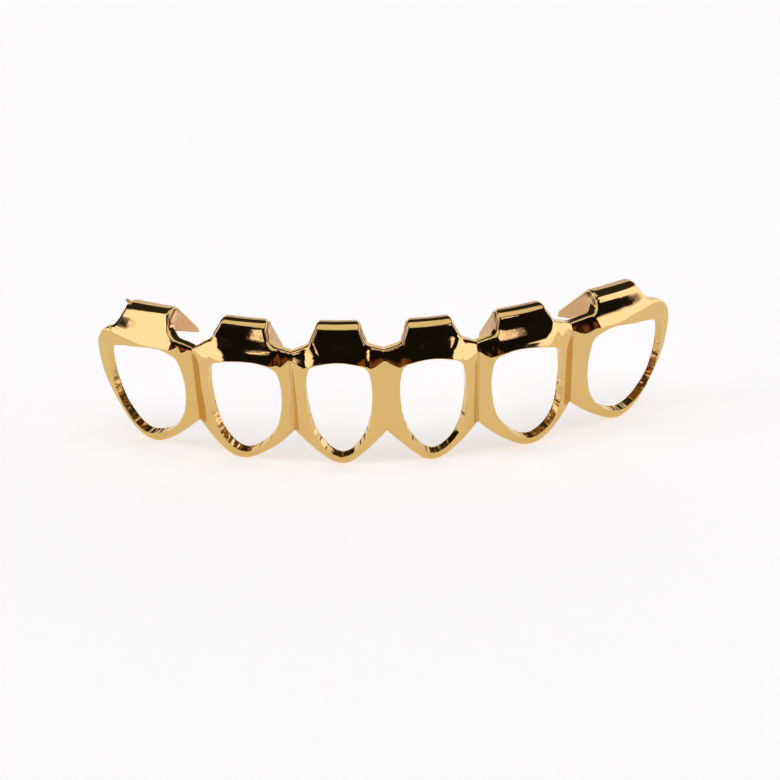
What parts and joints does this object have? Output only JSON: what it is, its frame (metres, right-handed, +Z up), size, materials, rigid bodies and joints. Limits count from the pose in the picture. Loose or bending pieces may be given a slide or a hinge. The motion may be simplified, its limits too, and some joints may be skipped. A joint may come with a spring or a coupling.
{
  "type": "grillz tooth cover",
  "caption": "Lower row of joined open-face tooth covers in one gold plated casting, each with a window over the tooth and a hook folded over its biting edge",
  "frame": {"origin": "centre of the bounding box in plan, on the ground under the low points of the rims", "axes": "+X along the row to the right as seen from the front, -Y the way the labial faces look, +Z up"},
  "size_m": [0.0368, 0.0106, 0.0091],
  "materials": {
    "gold_plate": "mirror polished gold plate over cast brass"
  },
  "bodies": {
    "root": {"tooth_cover": "gold_plate"}
  },
  "joints": []
}
